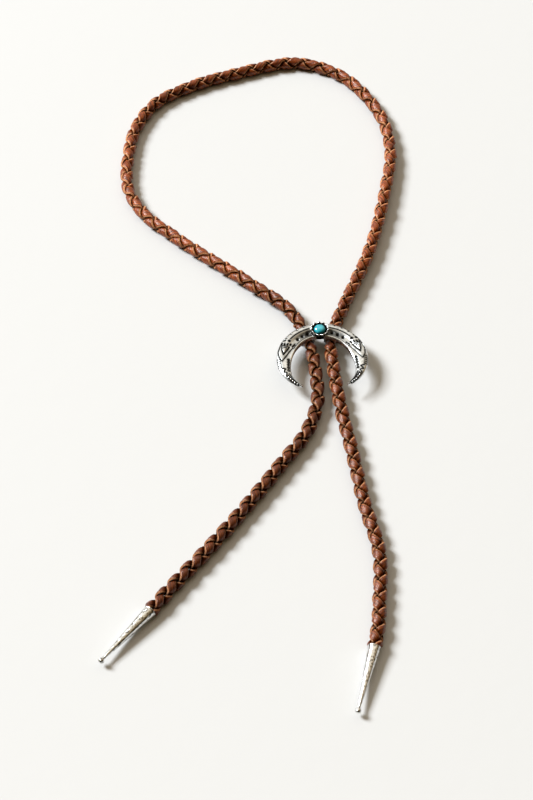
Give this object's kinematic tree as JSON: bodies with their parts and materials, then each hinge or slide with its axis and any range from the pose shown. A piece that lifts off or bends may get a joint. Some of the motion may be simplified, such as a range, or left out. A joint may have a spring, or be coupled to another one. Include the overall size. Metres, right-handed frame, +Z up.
{
  "type": "bolo tie",
  "caption": "Bolo tie: brown braided leather cord with silver cone tips, drawn through a cast silver crescent slide set with a turquoise cabochon, lying loosely on a table.",
  "frame": {"origin": "on the table under the middle of the crescent slide", "axes": "+Z up off the table, +Y from the slide towards the neck loop, +X to the right as seen from the tails"},
  "size_m": [0.161, 0.4166, 0.0124],
  "materials": {
    "leather": "brown round-braided laces, lightly glossy, pale cut edges",
    "cast_silver": "oxidised cast silver, polished high spots and dark recesses",
    "silver": "polished silver with a lightly hammered face",
    "turquoise": "polished turquoise cabochon"
  },
  "bodies": {
    "root": {"cord": "leather", "crescent": "cast_silver", "slide_strap": "silver", "cabochon": "turquoise", "left_tip": "silver", "right_tip": "silver"}
  },
  "joints": []
}
